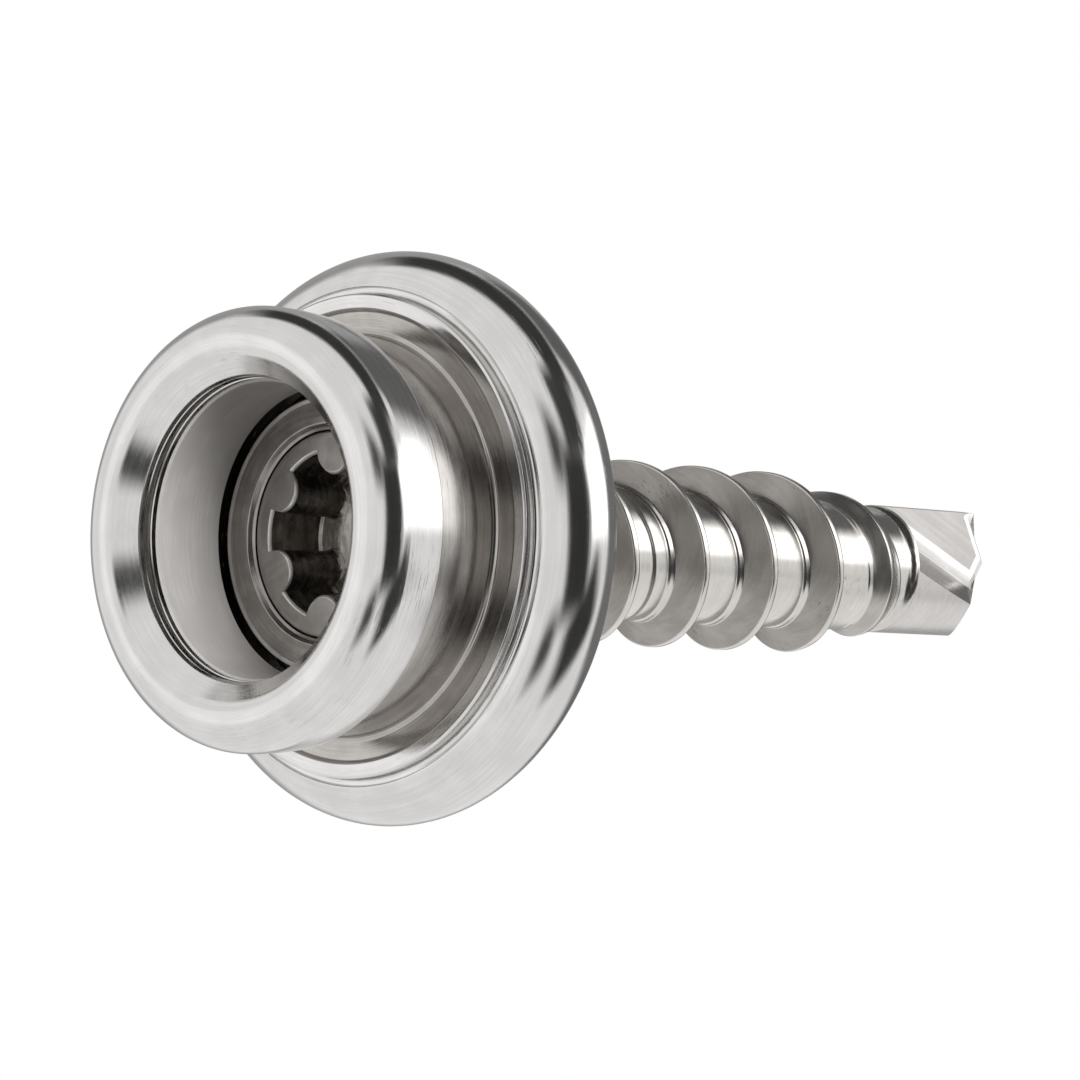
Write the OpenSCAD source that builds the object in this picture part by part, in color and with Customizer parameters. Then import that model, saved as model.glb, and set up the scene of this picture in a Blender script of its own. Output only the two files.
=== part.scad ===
// Snap fastener screw stud: a turned snap stud with a self-drilling screw staked into its bore.
// The axis is Z. The stud stands on the nose of its snap head at z = 0, and the drill point is on top.

/* [Snap head] */
// Diameter across the bead that the snap socket grips
bead_d = 10.4; // [9.9:0.1:12.5]
// Length of the bead, from its nose to its back face
bead_len = 2.07; // [1.8:0.01:2.5]
// Outer rounding of the nose
nose_r = 0.85; // [0.5:0.05:1]
// Inner rounding of the nose
nose_in_r = 0.5; // [0.3:0.05:0.6]
// Radius of the bead's gently bulged side
side_r = 8; // [5:0.5:20]
// Rounding of the bead's back edge
bead_edge_r = 0.18; // [0.05:0.01:0.25]
// Step from the bore out to the edge of the mouth
mouth_step = 0.12; // [0.05:0.01:0.2]
// Length of the tapered mouth between its edge and the bore
mouth_len = 0.52; // [0.3:0.01:0.8]

/* [Neck and flange] */
// Diameter of the neck behind the bead
neck_d = 9.5; // [8.9:0.1:9.7]
// Length of the neck, from the bead to the shoulder
neck_len = 1.99; // [1.6:0.01:2.4]
// Fillets at both ends of the neck
neck_fillet = 0.15; // [0.05:0.01:0.25]
// Outer diameter of the raised ring on the shoulder
ring_d = 11.5; // [11.1:0.1:11.9]
// Width of the raised ring
ring_w = 0.34; // [0.2:0.02:0.5]
// Height of the raised ring over the shoulder
ring_h = 0.09; // [0.04:0.01:0.15]
// Radius of the groove turned between the ring and the flange
groove_r = 0.1; // [0.05:0.01:0.15]
// Diameter of the flange
flange_d = 13.76; // [13:0.02:16.6]
// Radius of the flange's rounded rim
flange_r = 1.15; // [0.8:0.05:1.3]
// Thickness of the flange, from the shoulder to the seat
flange_len = 2.19; // [1.9:0.01:2.7]
// Distance of the flange's widest circle from the seat
flange_tail = 0.85; // [0.6:0.05:0.95]

/* [Staked lip] */
// Wall of the lip that is staked over the screw head
lip_wall = 0.12; // [0.08:0.01:0.3]
// Rise of the lip over the screw head's face
lip_rise = 0.18; // [0.1:0.01:0.3]
// Width of the lip's flat top
lip_top = 0.36; // [0.2:0.02:0.44]
// Width of the groove around the lip, for the staking tool
stake_w = 0.42; // [0.25:0.01:0.6]
// Depth of that groove below the lip's top
stake_depth = 0.83; // [0.5:0.01:1.2]
// Undercut of the bore's wall along that groove
relief_w = 0.25; // [0.15:0.01:0.4]
// Distance of the undercut's edge above the lip's top
relief_lead = 0.1; // [0.06:0.02:0.2]
// Thickness of the web that the screw head seats on
web_t = 1.05; // [0.8:0.05:1.4]

/* [Screw head] */
// Ledge on which the head seats, beyond the hole
head_ledge = 0.43; // [0.3:0.01:0.6]
// Height of the head
head_h = 1.9; // [1.6:0.05:2.3]
// Bevel of the head's rim under the lip
head_bevel = 0.46; // [0.3:0.02:0.6]
// Diameter of the six-lobe recess across its lobes
drive_d = 3.95; // [3.3:0.05:4.7]
// Diameter of the recess across its ribs
drive_core_d = 2.85; // [2.5:0.05:3]
// Radius of the ribs between the lobes
drive_rib_r = 0.53; // [0.4:0.01:0.6]
// Depth of the recess
drive_depth = 1.5; // [1:0.05:1.9]
// Depth of the cone below the recess
drive_cone = 0.35; // [0.2:0.05:0.5]
// Bevel of the recess's edge
drive_bevel = 0.08; // [0.03:0.01:0.12]

/* [Thread] */
// Outer diameter of the thread
thread_d = 4.7; // [3.9:0.1:5.6]
// Height of the thread over its root
thread_h = 0.66; // [0.4:0.02:0.76]
// Distance from one turn to the next
pitch = 2.65; // [2.2:0.05:3.2]
// Width of the crest
crest_w = 0.2; // [0.06:0.02:0.3]
// Axial width of each flank
flank_w = 0.46; // [0.3:0.01:0.55]
// Width of the fillet at the foot of each flank
foot_w = 0.17; // [0.05:0.01:0.2]
// Plain shank between the seat and the thread
plain_len = 1.2; // [0.6:0.1:2]
// Angle at which the thread starts
start_turn = 240; // [0:5:355]
// Height of the leading turn, as a share of the full thread
lead_h = 0.42; // [0.2:0.02:0.8]

/* [Drill point] */
// Length from the flange's seat to the tip
reach = 22.06; // [18.3:0.02:26.5]
// Diameter of the drill point
point_d = 3.42; // [3.42:0.02:4.2]
// Length of the drill point
point_len = 4.76; // [4.4:0.02:6]
// Thickness of the web between the flutes
flute_web = 0.68; // [0.4:0.02:0.8]
// Slant of the flutes to the axis
flute_slant = 21.5; // [16:0.5:28]
// Angle of the flute's wall to its flat
flute_wall = 49; // [40:1:60]
// Radius along the bottom of the flute
flute_foot_r = 0.76; // [0.3:0.02:0.9]
// Distance from the tip to where the flute meets the axis
flute_cross = 1.36; // [0.8:0.02:1.6]
// Slope of the two faces at the tip
tip_slope = 51; // [40:1:60]
// Turn of the chisel edge from the flutes' flats
chisel_turn = 31; // [20:1:50]

/* [Clearances] */
// Between the thread and the hole that it passes through
pass_clear = 0.1; // [0.05:0.01:0.3]
// Between the screw head and the wall of its pocket
head_clear = 0.04; // [0.02:0.01:0.08]
// Between the staked lip and the head's bevel
stake_clear = 0.03; // [0.02:0.01:0.06]

/* [Hidden] */
$fn = 96;
cut = 0.05;                                   // how far a cutting tool runs past the face it opens
sink = 0.35;                                  // how far the threaded length reaches into its neighbours
step = 0.1;                                   // shoulder of the plain shank over the thread's root

// Radii that follow from the thread outward: each piece clears the one inside it
crest_rad = thread_d / 2;
root_rad = crest_rad - thread_h;
shank_rad = root_rad + step;
hole_rad = crest_rad + pass_clear;
head_rad = hole_rad + head_ledge;
face_rad = head_rad - head_bevel;
pocket_rad = head_rad + head_clear;
lip_rad = pocket_rad + lip_wall;
bore_rad = lip_rad + stake_w;
mouth_rad = bore_rad + mouth_step;
nose_rad = bead_d / 2 - nose_r;
neck_rad = neck_d / 2;
ring_rad = ring_d / 2;
rim_rad = flange_d / 2 - flange_r;
point_rad = point_d / 2;

// Heights along the axis, from the nose to the tip
z_shoulder = bead_len + neck_len;
z_seat = z_shoulder + flange_len;
z_rim = z_seat - flange_tail;
z_ledge = z_seat - web_t;
z_face = z_ledge - head_h;
z_lip = z_face - lip_rise;
z_stake = z_lip + stake_depth;
z_relief = z_lip - relief_lead;
z_tip = z_seat + reach;
z_point = z_tip - point_len;
z_thread = z_seat + plain_len;

// The nose's inner bevel leaves its rounding at 45 degrees and ends at the edge of the mouth.
// The wall between the mouth and the nose's crest limits that rounding.
nose_in = min(nose_in_r, 0.9 * (nose_rad - mouth_rad) / sin(45));
bevel_start = [nose_rad - nose_in * sin(45), nose_in * (1 - cos(45))];
z_mouth = bevel_start[1] + bevel_start[0] - mouth_rad;
z_bore = z_mouth + mouth_len;

// The bead's side falls off along a large arc to its back edge
z_edge = bead_len - bead_edge_r;
edge_rad = bead_d / 2 - side_r + sqrt(side_r * side_r - (z_edge - nose_r) * (z_edge - nose_r));

// Half section of the snap head: nose, bulged side, rounded back edge and tapered mouth
module bead_section() {
    intersection() {
        translate([nose_rad, nose_r]) circle(nose_r);
        translate([nose_rad, 0]) square([nose_r, nose_r]);
    }
    translate([nose_rad, nose_in]) circle(nose_in);
    intersection() {
        translate([bead_d / 2 - side_r, nose_r]) circle(side_r, $fn = 4 * $fn);
        translate([nose_rad, nose_r]) square([2 * nose_r, z_edge - nose_r]);
    }
    translate([edge_rad - bead_edge_r, z_edge]) circle(bead_edge_r);
    translate([nose_rad, z_edge - cut]) square([edge_rad - bead_edge_r - nose_rad, bead_edge_r + cut]);
    polygon([
        bevel_start, [nose_rad, nose_in], [nose_rad, bead_len], [bore_rad, bead_len],
        [bore_rad, z_bore], [mouth_rad, z_mouth]
    ]);
}

// Half section of a fillet of radius r in the corner at p, open towards the signs in way
module fillet_section(p, r, way) {
    difference() {
        translate([p[0] + (way[0] < 0 ? -r : -cut), p[1] + (way[1] < 0 ? -r : -cut)])
            square(r + cut);
        translate(p + r * way) circle(r);
    }
}

// Half section of the neck, undercut at the staking groove, with a fillet at the bead and the shoulder
module neck_section() {
    polygon([
        [bore_rad, z_edge], [neck_rad, z_edge], [neck_rad, z_stake + cut],
        [bore_rad + relief_w, z_stake + cut], [bore_rad + relief_w, z_relief], [bore_rad, z_relief]
    ]);
    fillet_section([neck_rad, bead_len], neck_fillet, [1, 1]);
    fillet_section([neck_rad, z_shoulder], neck_fillet, [1, -1]);
}

// Half section of the shoulder's ring, the groove behind it and the rounded flange
module flange_section() {
    difference() {
        union() {
            translate([bore_rad, z_shoulder]) square([rim_rad - bore_rad, z_seat - z_shoulder]);
            polygon([
                [ring_rad - ring_w - ring_h, z_shoulder], [ring_rad - ring_w, z_shoulder - ring_h],
                [ring_rad - ring_h / 2, z_shoulder - ring_h], [ring_rad, z_shoulder - ring_h / 2],
                [ring_rad, z_rim], [ring_rad - ring_w - ring_h, z_rim]
            ]);
            intersection() {
                translate([rim_rad, z_rim]) circle(flange_r, $fn = 2 * $fn);
                translate([bore_rad, z_rim - flange_r]) square([flange_d, flange_r + flange_tail]);
            }
        }
        translate([ring_rad + groove_r, z_rim - flange_r]) circle(groove_r);
        translate([ring_rad, 0]) square([2 * groove_r, z_rim - flange_r]);
    }
}

// Half section of the web, the head's pocket and the lip staked over the head's bevel
module seat_section() {
    lip_edge = lip_rise / 3;
    lip_tip = [face_rad + stake_clear * sqrt(2) + lip_rise / 20, z_face + lip_rise / 20];
    polygon([
        [hole_rad, z_seat], [hole_rad, z_ledge], [pocket_rad, z_ledge],
        [pocket_rad, lip_tip[1] + pocket_rad - lip_tip[0]], lip_tip,
        [lip_rad - lip_edge - lip_top, z_lip], [lip_rad - lip_edge, z_lip], [lip_rad, z_lip + lip_edge],
        [lip_rad, z_stake], [neck_rad, z_stake], [neck_rad, z_seat]
    ]);
}

// The turned snap stud
module stud() {
    color("silver") rotate_extrude() {
        bead_section();
        neck_section();
        flange_section();
        seat_section();
    }
}

// The screw's head with its bevelled rim, and the plain shank that carries the thread
module head_blank() {
    rotate_extrude() polygon([
        [0, z_face], [face_rad, z_face], [head_rad, z_face + head_bevel], [head_rad, z_ledge],
        [hole_rad - pass_clear, z_ledge], [shank_rad, z_ledge + crest_rad - shank_rad],
        [shank_rad, z_thread + sink], [0, z_thread + sink]
    ]);
}

// The six-lobe recess: a round pocket that keeps six ribs, with a coned bottom and a bevelled edge
module drive_recess() {
    translate([0, 0, z_face - cut]) linear_extrude(drive_depth + cut) difference() {
        circle(drive_d / 2);
        for (turn = [0 : 60 : 300])
            rotate(turn) translate([drive_core_d / 2 + drive_rib_r, 0]) circle(drive_rib_r);
    }
    translate([0, 0, z_face + drive_depth - cut])
        cylinder(h = drive_cone, r1 = drive_core_d / 2 - drive_bevel, r2 = drive_core_d / 5);
    translate([0, 0, z_face - cut])
        cylinder(h = drive_bevel + cut, r1 = drive_d / 2 + cut, r2 = drive_d / 2 - drive_bevel);
}

// The thread is a lattice sheared along the helix, so that its edges follow the turns.
// Each turn has the same rows from foot to crest to foot, and rows past either end gather on the end.
around = 60;
z_low = z_thread;
z_high = z_point + cut;
half = crest_w / 2;
turn_rows = [
    [0.5 - (half + flank_w + foot_w) / pitch, 0], [0.5 - (half + flank_w) / pitch, 0.06],
    [0.5 - half / pitch, 1], [0.5 + half / pitch, 1],
    [0.5 + (half + flank_w) / pitch, 0.06], [0.5 + (half + flank_w + foot_w) / pitch, 0]
];
per_turn = len(turn_rows);
turns = ceil((z_high - z_low) / pitch) + 2;
rows = per_turn * turns;

// Height of the thread at a height z, as a share: it grows in, runs full, then leads in lower at the point
function share(z) = lookup(z, [
    [z_low, 0], [z_low + pitch / 2, 1], [z_point - 1.3 * pitch, 1], [z_point - 0.8 * pitch, lead_h],
    [z_point - 0.3 * pitch, lead_h], [z_point, 0]
]);
function row_z(i, j) = z_low + pitch * (floor(j / per_turn) + turn_rows[j % per_turn][0] + i / around
    - 1 - start_turn / 360);
function held_z(i, j) = min(max(row_z(i, j), z_low), z_high);
function row_rad(i, j) = root_rad + thread_h * turn_rows[j % per_turn][1] * share(held_z(i, j));
function lattice_point(i, j) =
    [row_rad(i, j) * cos(360 * i / around), row_rad(i, j) * sin(360 * i / around), held_z(i, j)];

// First and last row of a column that stand for all the rows gathered on an end
function first_row(i) = max([for (j = [0 : rows - 1]) if (row_z(i, j) <= z_low) j]);
function last_row(i) = min([for (j = [0 : rows - 1]) if (row_z(i, j) >= z_high) j]);
firsts = [for (i = [0 : around - 1]) first_row(i)];
lasts = [for (i = [0 : around - 1]) last_row(i)];

// Index of a lattice point. Past the last column the lattice goes on one turn higher in the first.
function index(i, j) = i < around
    ? i * rows + min(max(j, firsts[i]), lasts[i])
    : min(max(j + per_turn, firsts[0]), lasts[0]);
function whole(t) = t[0] != t[1] && t[1] != t[2] && t[2] != t[0];

// The threaded length, closed by a flat face at each end
module thread() {
    points = [for (i = [0 : around - 1]) for (j = [0 : rows - 1]) lattice_point(i, j)];
    sides = [
        for (i = [0 : around - 1]) for (j = [0 : rows - 2])
            for (t = [[index(i, j), index(i, j + 1), index(i + 1, j)],
                      [index(i + 1, j), index(i, j + 1), index(i + 1, j + 1)]])
                if (whole(t)) t
    ];
    low_face = [for (i = [0 : around - 1]) index(i, 0)];
    high_face = [for (i = [around - 1 : -1 : 0]) index(i, rows - 1)];
    polyhedron(points, concat(sides, [low_face, high_face]));
}

// Section across a flute: a flat along the web and a wall that leans away from it, with a round foot
module flute_section() {
    reach_out = 2 * point_d;
    lean = [-cos(flute_wall), sin(flute_wall)];
    foot = flute_foot_r * tan(flute_wall / 2);
    arc = [for (a = [0 : flute_wall / 6 : flute_wall])
        [foot - flute_foot_r * sin(a), flute_web / 2 + flute_foot_r * (1 - cos(a))]];
    polygon(concat(
        [[reach_out, reach_out], [reach_out, flute_web / 2]], arc,
        [[0, flute_web / 2] + reach_out * lean]
    ));
}

// One flute, slanted so that its bottom runs from the rim to the axis near the tip
module flute() {
    translate([0, 0, z_tip - flute_cross]) rotate([0, flute_slant, 0]) rotate(180)
        translate([0, 0, -2 * point_len]) linear_extrude(4 * point_len) flute_section();
}

// The drill point: a plain rod with a roof-shaped tip and two flutes, half a turn apart
module drill_point() {
    roof = 2 * point_d;
    difference() {
        intersection() {
            translate([0, 0, z_point]) cylinder(h = point_len, r = point_rad);
            translate([0, 0, z_tip]) rotate(90 + chisel_turn) rotate([90, 0, 0])
                translate([0, 0, -roof]) linear_extrude(2 * roof)
                    polygon([[0, 0], [-roof, -roof * tan(tip_slope)], [roof, -roof * tan(tip_slope)]]);
        }
        for (side = [0, 180])
            rotate(side) flute();
    }
}

// The self-drilling screw
module screw() {
    color("gainsboro") union() {
        difference() {
            head_blank();
            drive_recess();
        }
        thread();
        drill_point();
    }
}

stud();
screw();
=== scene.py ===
"""Visual model of a snap fastener screw stud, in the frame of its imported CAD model.

The turned stud and the self-drilling screw are numpy surfaces in millimetres that repeat the
sizes of the CAD model, apart from a wider staked lip and fine details that only show. Small edge
roundings and procedural steel finishes complete them.
"""

import logging
import math
from dataclasses import dataclass, field
from enum import IntEnum
from typing import ClassVar

import bmesh
import bpy
import numpy as np
from mathutils import Matrix, Vector


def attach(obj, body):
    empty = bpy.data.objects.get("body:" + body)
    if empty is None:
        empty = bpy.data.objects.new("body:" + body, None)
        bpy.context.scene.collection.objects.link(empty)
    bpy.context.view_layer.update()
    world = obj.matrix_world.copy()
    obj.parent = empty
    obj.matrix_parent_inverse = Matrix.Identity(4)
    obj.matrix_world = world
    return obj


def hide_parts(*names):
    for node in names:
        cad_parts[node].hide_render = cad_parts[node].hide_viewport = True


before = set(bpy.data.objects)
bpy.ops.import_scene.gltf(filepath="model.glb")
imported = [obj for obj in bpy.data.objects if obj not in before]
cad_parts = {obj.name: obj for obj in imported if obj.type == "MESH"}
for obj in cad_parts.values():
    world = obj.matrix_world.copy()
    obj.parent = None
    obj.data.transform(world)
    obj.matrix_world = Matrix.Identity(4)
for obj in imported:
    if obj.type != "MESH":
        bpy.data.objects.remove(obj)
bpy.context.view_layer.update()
LOG = logging.getLogger("snap_stud")
MM = 0.001
WHITE = (1.0, 1.0, 1.0, 1.0)


class StudZone(IntEnum):
    """Finish zones of the stud, in the order of its material slots."""

    POLISHED = 0
    BORE = 1
    NECK = 2
    LIP = 3


class HeadZone(IntEnum):
    """Finish zones of the screw's head, in the order of its material slots."""

    FACE = 0
    RECESS = 1
    # The recess's rim, dressed with a painted highlight.
    HIGHLIGHT_RIM = 2


class PointZone(IntEnum):
    """Finish zones of the drill point, in the order of its material slots."""

    LAND = 0
    FLUTE = 1
    LIP = 2
    FOOT = 3


@dataclass
class Surface:
    """Triangles in millimetres, with a UV pair per corner and values per point.

    Attributes:
        points: Point positions, (n, 3).
        triangles: Point indices, (m, 3).
        uv: Turn around the axis and length along the profile, (m, 3, 2).
        slots: Material slot of each triangle, (m,).
        values: Named values per point, (n,) each.
    """

    points: np.ndarray
    triangles: np.ndarray
    uv: np.ndarray
    slots: np.ndarray
    values: dict[str, np.ndarray] = field(default_factory=dict)


def grid_surface(points: np.ndarray, along: np.ndarray, wrap: bool,
                 slot_of_row: np.ndarray | int = 0,
                 values: dict[str, np.ndarray] | None = None) -> Surface:
    """Cover a grid of points with triangles, two for each cell.

    Args:
        points: Grid of positions, (rows, columns, 3).
        along: Length along the profile at each row, (rows,).
        wrap: Whether the last column joins the first.
        slot_of_row: Material slot for the cells that start at each row, or one for all.
        values: Named grids of values, (rows, columns) each.

    Returns:
        The surface, with row and column order kept.
    """
    rows, columns = points.shape[:2]
    cells = columns if wrap else columns - 1
    i, k = np.meshgrid(np.arange(rows - 1), np.arange(cells), indexing="ij")
    i, k = i.ravel(), k.ravel()
    right = (k + 1) % columns
    a, b = i * columns + k, i * columns + right
    c, d = (i + 1) * columns + right, (i + 1) * columns + k
    turn, next_turn = k / columns, k / columns + 1 / columns
    low, high = along[i], along[i + 1]
    uv_a, uv_b = np.stack([turn, low], 1), np.stack([next_turn, low], 1)
    uv_c, uv_d = np.stack([next_turn, high], 1), np.stack([turn, high], 1)
    slots = np.broadcast_to(slot_of_row, (rows,))[i]
    return Surface(
        points.reshape(-1, 3),
        np.concatenate([np.stack([a, b, c], 1), np.stack([a, c, d], 1)]),
        np.concatenate([np.stack([uv_a, uv_b, uv_c], 1), np.stack([uv_a, uv_c, uv_d], 1)]),
        np.concatenate([slots, slots]),
        {name: grid.ravel() for name, grid in (values or {}).items()},
    )


def fan_surface(ring: np.ndarray, tip: np.ndarray, slot: int = 0) -> Surface:
    """Close a ring of points with a fan of triangles from one tip.

    Args:
        ring: Closed ring of positions, (n, 3).
        tip: The point that every triangle shares, (3,).
        slot: Material slot of the fan.

    Returns:
        The fan.
    """
    count = len(ring)
    k = np.arange(count)
    triangles = np.stack([k, (k + 1) % count, np.full(count, count)], 1)
    return Surface(np.vstack([ring, tip]), triangles, np.zeros((count, 3, 2)),
                   np.full(count, slot))


def joined(parts: list[Surface]) -> Surface:
    """Put surfaces into one, weld points that coincide and drop triangles without area.

    Args:
        parts: The surfaces to join. A value that one of them lacks is 0 on it.

    Returns:
        The welded surface.
    """
    starts = np.cumsum([0] + [len(p.points) for p in parts])
    points = np.concatenate([p.points for p in parts])
    triangles = np.concatenate([p.triangles + s for p, s in zip(parts, starts)])
    uv = np.concatenate([p.uv for p in parts])
    slots = np.concatenate([p.slots for p in parts])
    names = sorted({name for p in parts for name in p.values})
    values = {name: np.concatenate([p.values.get(name, np.zeros(len(p.points))) for p in parts])
              for name in names}
    _, first, same = np.unique(np.round(points, 5), axis=0, return_index=True,
                               return_inverse=True)
    triangles = same.reshape(-1)[triangles]
    whole = ((triangles[:, 0] != triangles[:, 1]) & (triangles[:, 1] != triangles[:, 2])
             & (triangles[:, 2] != triangles[:, 0]))
    triangles = triangles[whole]
    used, renamed = np.unique(triangles, return_inverse=True)
    first = first[used]
    return Surface(points[first], renamed.reshape(triangles.shape), uv[whole], slots[whole],
                   {n: v[first] for n, v in values.items()})


def rounded_outline(corners: np.ndarray, closed: bool, turn_deg: float = 7.0,
                    gap: float = 0.35, guard: float = 0.02) -> np.ndarray:
    """Round each corner of an outline by a tangent arc.

    Each arc touches both sides of its corner at radius / tan(half the inner angle) from it.
    Straight runs get a point close to each end, so that smooth shading bends only in that short
    stretch.

    Args:
        corners: Radius, height and rounding of each corner, (n, 3).
        closed: Whether the last corner joins the first.
        turn_deg: Largest turn between two points of an arc.
        gap: Largest distance between two points of a straight run.
        guard: Distance of the extra points from the ends of a straight run.

    Returns:
        The outline's points, (m, 2), without a repeated end.
    """
    places, radii = corners[:, :2], corners[:, 2]
    arcs: list[np.ndarray] = []
    for index, (place, radius) in enumerate(zip(places, radii)):
        at_end = not closed and index in (0, len(corners) - 1)
        if at_end or radius <= 0:
            arcs.append(place[None, :])
            continue
        back = places[index - 1] - place
        ahead = places[(index + 1) % len(places)] - place
        back, ahead = back / np.linalg.norm(back), ahead / np.linalg.norm(ahead)
        half = math.acos(float(np.clip(back @ ahead, -1, 1))) / 2
        start = place + back * radius / math.tan(half)
        stop = place + ahead * radius / math.tan(half)
        bisector = (back + ahead) / np.linalg.norm(back + ahead)
        middle = place + bisector * radius / math.sin(half)
        sweep = math.pi - 2 * half
        count = max(2, math.ceil(math.degrees(sweep) / turn_deg))
        share = np.linspace(0, 1, count + 1)[:, None]
        arcs.append(middle + (np.sin((1 - share) * sweep) * (start - middle)
                              + np.sin(share * sweep) * (stop - middle)) / math.sin(sweep))
    pieces: list[np.ndarray] = []
    for index, arc in enumerate(arcs):
        pieces.append(arc)
        if index + 1 == len(arcs) and not closed:
            break
        start, stop = arc[-1], arcs[(index + 1) % len(arcs)][0]
        length = float(np.linalg.norm(stop - start))
        if length > 4 * guard:
            count = max(2, math.ceil(length / gap) + 1)
            inner = np.linspace(guard, length - guard, count) / length
            pieces.append(start + inner[:, None] * (stop - start))
    outline = np.concatenate(pieces)
    far = np.linalg.norm(outline - np.roll(outline, 1, axis=0), axis=1) > 1e-5
    far[0] = far[0] or not closed
    return outline[far]


def lengths_along(outline: np.ndarray) -> np.ndarray:
    """Length along an outline at each of its points, from the first."""
    steps = np.linalg.norm(np.diff(outline, axis=0), axis=1)
    return np.concatenate([[0], np.cumsum(steps)])


def revolved(outline: np.ndarray, columns: int) -> np.ndarray:
    """Carry an outline around the axis.

    Point (i, k) is at the outline's radius i turned by k / columns of a full turn, at its
    height i.

    Args:
        outline: Radius and height of each point, (n, 2).
        columns: Number of steps around.

    Returns:
        The grid of positions, (n, columns, 3).
    """
    turn = 2 * np.pi * np.arange(columns) / columns
    radius, height = outline[:, :1], outline[:, 1:]
    return np.stack([radius * np.cos(turn), radius * np.sin(turn), height + 0 * turn], axis=2)


def eased(value: np.ndarray, low: float, high: float) -> np.ndarray:
    """Smooth step from 0 at low to 1 at high."""
    t = np.clip((value - low) / (high - low), 0, 1)
    return t * t * (3 - 2 * t)


def make_piece(name: str, surface: Surface, materials: list[bpy.types.Material], node: str,
               sharp_deg: float = 32.0) -> bpy.types.Object:
    """Turn a surface into a mesh object that rides on the body and stands for a CAD node.

    Args:
        name: Name of the piece.
        surface: The welded surface, in millimetres.
        materials: Materials for the surface's slots, in order.
        node: The CAD node that the piece replaces.
        sharp_deg: Edges that turn more than this are shaded sharp.

    Returns:
        The new object, at the origin.
    """
    mesh = bpy.data.meshes.new(name)
    mesh.from_pydata((surface.points * MM).tolist(), [], surface.triangles.tolist())
    mesh.polygons.foreach_set("material_index", surface.slots.astype(np.int32))
    mesh.polygons.foreach_set("use_smooth", np.ones(len(surface.triangles), dtype=bool))
    layer = mesh.uv_layers.new(name="turned")
    layer.data.foreach_set("uv", surface.uv.astype(np.float32).ravel())
    for label, numbers in surface.values.items():
        attribute = mesh.attributes.new(label, "FLOAT", "POINT")
        attribute.data.foreach_set("value", numbers.astype(np.float32))
    work = bmesh.new()
    work.from_mesh(mesh)
    bmesh.ops.recalc_face_normals(work, faces=work.faces)
    work.to_mesh(mesh)
    work.free()
    mesh.set_sharp_from_angle(angle=math.radians(sharp_deg))
    for material in materials:
        mesh.materials.append(material)
    piece = bpy.data.objects.new(name, mesh)
    bpy.context.scene.collection.objects.link(piece)
    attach(piece, "root")
    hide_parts(node)
    LOG.info("%s: %d points, %d triangles", name, len(mesh.vertices), len(mesh.polygons))
    return piece


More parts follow.
